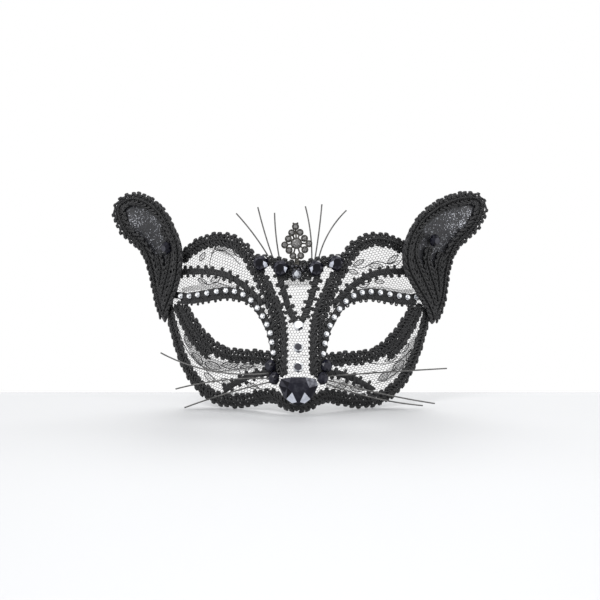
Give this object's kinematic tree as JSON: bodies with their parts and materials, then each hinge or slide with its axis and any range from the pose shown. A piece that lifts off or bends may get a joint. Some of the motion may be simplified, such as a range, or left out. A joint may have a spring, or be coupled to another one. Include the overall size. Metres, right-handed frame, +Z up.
{
  "type": "cat half mask",
  "caption": "Black lace cat half mask with scroll-gimp edges, cupped ears, faceted stones, a filigree forehead ornament and bristle whiskers.",
  "frame": {"origin": "on the ground under the middle of the bounding box, where the cheeks and nose stand", "axes": "the wearer looks along -Y, +X is the viewer's right seen from the front, +Z is up"},
  "size_m": [0.2241, 0.0757, 0.1236],
  "materials": {
    "lace": "black tulle lace with darker outline threads",
    "gimp": "black rayon scroll gimp and picot braid",
    "ear_felt": "black stiffened felt",
    "glitter_net": "charcoal net with silver glitter",
    "wire": "black lacquered soft wire",
    "black_stone": "polished faceted jet black",
    "clear_crystal": "foil-backed clear crystal",
    "gunmetal": "gunmetal plate",
    "bristle": "dark grey nylon bristle",
    "ring_metal": "black-plated steel"
  },
  "bodies": {
    "root": {"banding_crystals_left": "clear_crystal", "banding_crystals_right": "clear_crystal", "bead_cluster": "black_stone", "bridge_crystals": "clear_crystal", "brow_gimp_left": "gimp", "brow_gimp_right": "gimp", "centre_crystal": "clear_crystal", "cheek_gimp_left": "gimp", "cheek_gimp_right": "gimp", "cheek_whiskers_left": "bristle", "cheek_whiskers_right": "bristle", "crystal_banding_left": "gimp", "crystal_banding_right": "gimp", "ear_backing_left": "ear_felt", "ear_backing_right": "ear_felt", "ear_gem_left": "black_stone", "ear_gem_right": "black_stone", "ear_inner_gimp_left": "gimp", "ear_inner_gimp_right": "gimp", "ear_net_left": "glitter_net", "ear_net_right": "glitter_net", "ear_rim_gimp_left": "gimp", "ear_rim_gimp_right": "gimp", "ear_wire_left": "wire", "ear_wire_right": "wire", "forehead_band": "gimp", "forehead_braid_left": "gimp", "forehead_braid_right": "gimp", "forehead_gem_inner_left": "black_stone", "forehead_gem_inner_right": "black_stone", "forehead_gem_outer_left": "black_stone", "forehead_gem_outer_right": "black_stone", "forehead_whiskers_left": "bristle", "forehead_whiskers_right": "bristle", "frame_wire_left": "wire", "frame_wire_right": "wire", "lace_centre": "lace", "lace_left": "lace", "lace_right": "lace", "lid_row_gimp_left": "gimp", "lid_row_gimp_right": "gimp", "lower_lid_gimp_left": "gimp", "lower_lid_gimp_right": "gimp", "mid_brow_braid_left": "gimp", "mid_brow_braid_right": "gimp", "nose_gem": "black_stone", "nose_side_gems_left": "black_stone", "nose_side_gems_right": "black_stone", "ornament_centre_stone": "clear_crystal", "ornament_crystals": "clear_crystal", "ornament_frame": "gunmetal", "seed_beads": "clear_crystal", "tie_ring_left": "ring_metal", "tie_ring_right": "ring_metal", "upper_lid_braid_left": "gimp", "upper_lid_braid_right": "gimp", "whisker_braid_left": "gimp", "whisker_braid_right": "gimp"}
  },
  "joints": []
}
